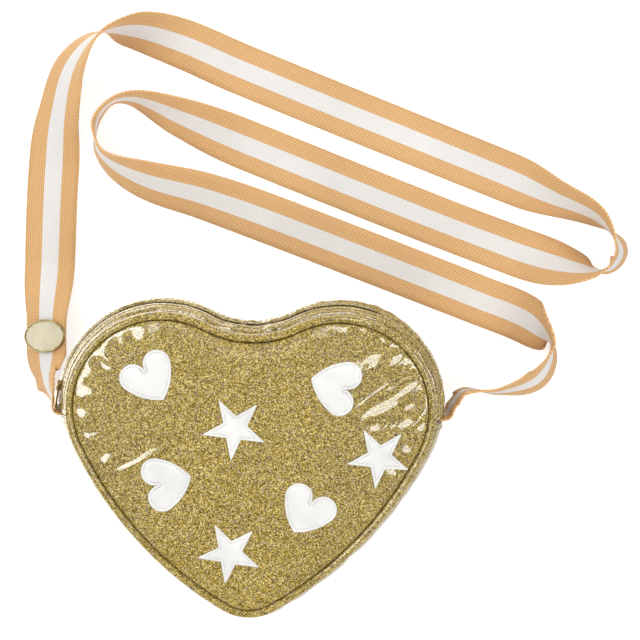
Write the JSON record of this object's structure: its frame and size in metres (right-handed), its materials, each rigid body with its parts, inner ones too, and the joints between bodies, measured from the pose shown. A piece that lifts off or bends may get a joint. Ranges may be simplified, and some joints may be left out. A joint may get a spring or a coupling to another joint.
{
  "type": "heart-shaped shoulder bag",
  "caption": "Heart-shaped zipped shoulder bag in gold glitter vinyl with white heart and star patches, a striped webbing strap and an oval badge.",
  "frame": {"origin": "middle of the back panel's rest face, on the line of symmetry, 58.5 mm above the centre of the heart's tip", "axes": "+X across the bag to the right lobe, +Y from the tip towards the lobes, +Z out of the front panel"},
  "size_m": [0.2972, 0.2954, 0.0484],
  "materials": {
    "glitter_vinyl": "clear gloss over gold glitter",
    "piping_vinyl": "clear gloss over gold glitter",
    "white_vinyl": "gloss",
    "webbing": "tan twill with a white middle stripe",
    "badge_face": "satin cream enamel",
    "badge_rim": "gold glitter",
    "lining_cloth": "plain weave",
    "foam": "felted foam",
    "filler_cord": "soft vinyl cord",
    "zip_tape": "woven tape",
    "zip_teeth": "nylon coil",
    "zip_metal": "antique"
  },
  "bodies": {
    "bag": {"front_panel": "glitter_vinyl", "front_foam": "foam", "front_lining": "lining_cloth", "back_panel": "glitter_vinyl", "back_foam": "foam", "back_lining": "lining_cloth", "front_piping": "piping_vinyl", "front_piping_cord": "filler_cord", "back_piping": "piping_vinyl", "back_piping_cord": "filler_cord", "front_seam_binding": "lining_cloth", "back_seam_binding": "lining_cloth", "lower_gusset": "glitter_vinyl", "zip_gusset_front": "glitter_vinyl", "zip_gusset_back": "glitter_vinyl", "lower_gusset_lining": "lining_cloth", "zip_gusset_lining": "lining_cloth", "zip_tape_front": "zip_tape", "zip_tape_back": "zip_tape", "zip_teeth_front": "zip_teeth", "zip_teeth_back": "zip_teeth", "zip_top_stops": "zip_metal", "zip_bottom_stop": "zip_metal", "heart_motif_1": "white_vinyl", "heart_motif_2": "white_vinyl", "heart_motif_3": "white_vinyl", "heart_motif_4": "white_vinyl", "star_motif_1": "white_vinyl", "star_motif_2": "white_vinyl", "star_motif_3": "white_vinyl", "shoulder_strap": "webbing", "strap_badge": "badge_face", "strap_badge_rim": "badge_rim"},
    "slider": {"zip_slider": "zip_metal"},
    "puller": {"zip_puller": "zip_metal"}
  },
  "joints": [
    {"name": "zip_travel", "type": "hinge", "parent": "bag", "child": "slider", "pos_m": [-0.0425, 0.0305, 0.031], "axis": [0, 0, -1], "range_deg": [0, 102]},
    {"name": "puller_swing", "type": "hinge", "parent": "slider", "child": "puller", "pos_m": [-0.09341, 0.03902, 0.03134], "axis": [-0.2578, 0.0431, -0.9652], "range_deg": [0, 170]}
  ]
}
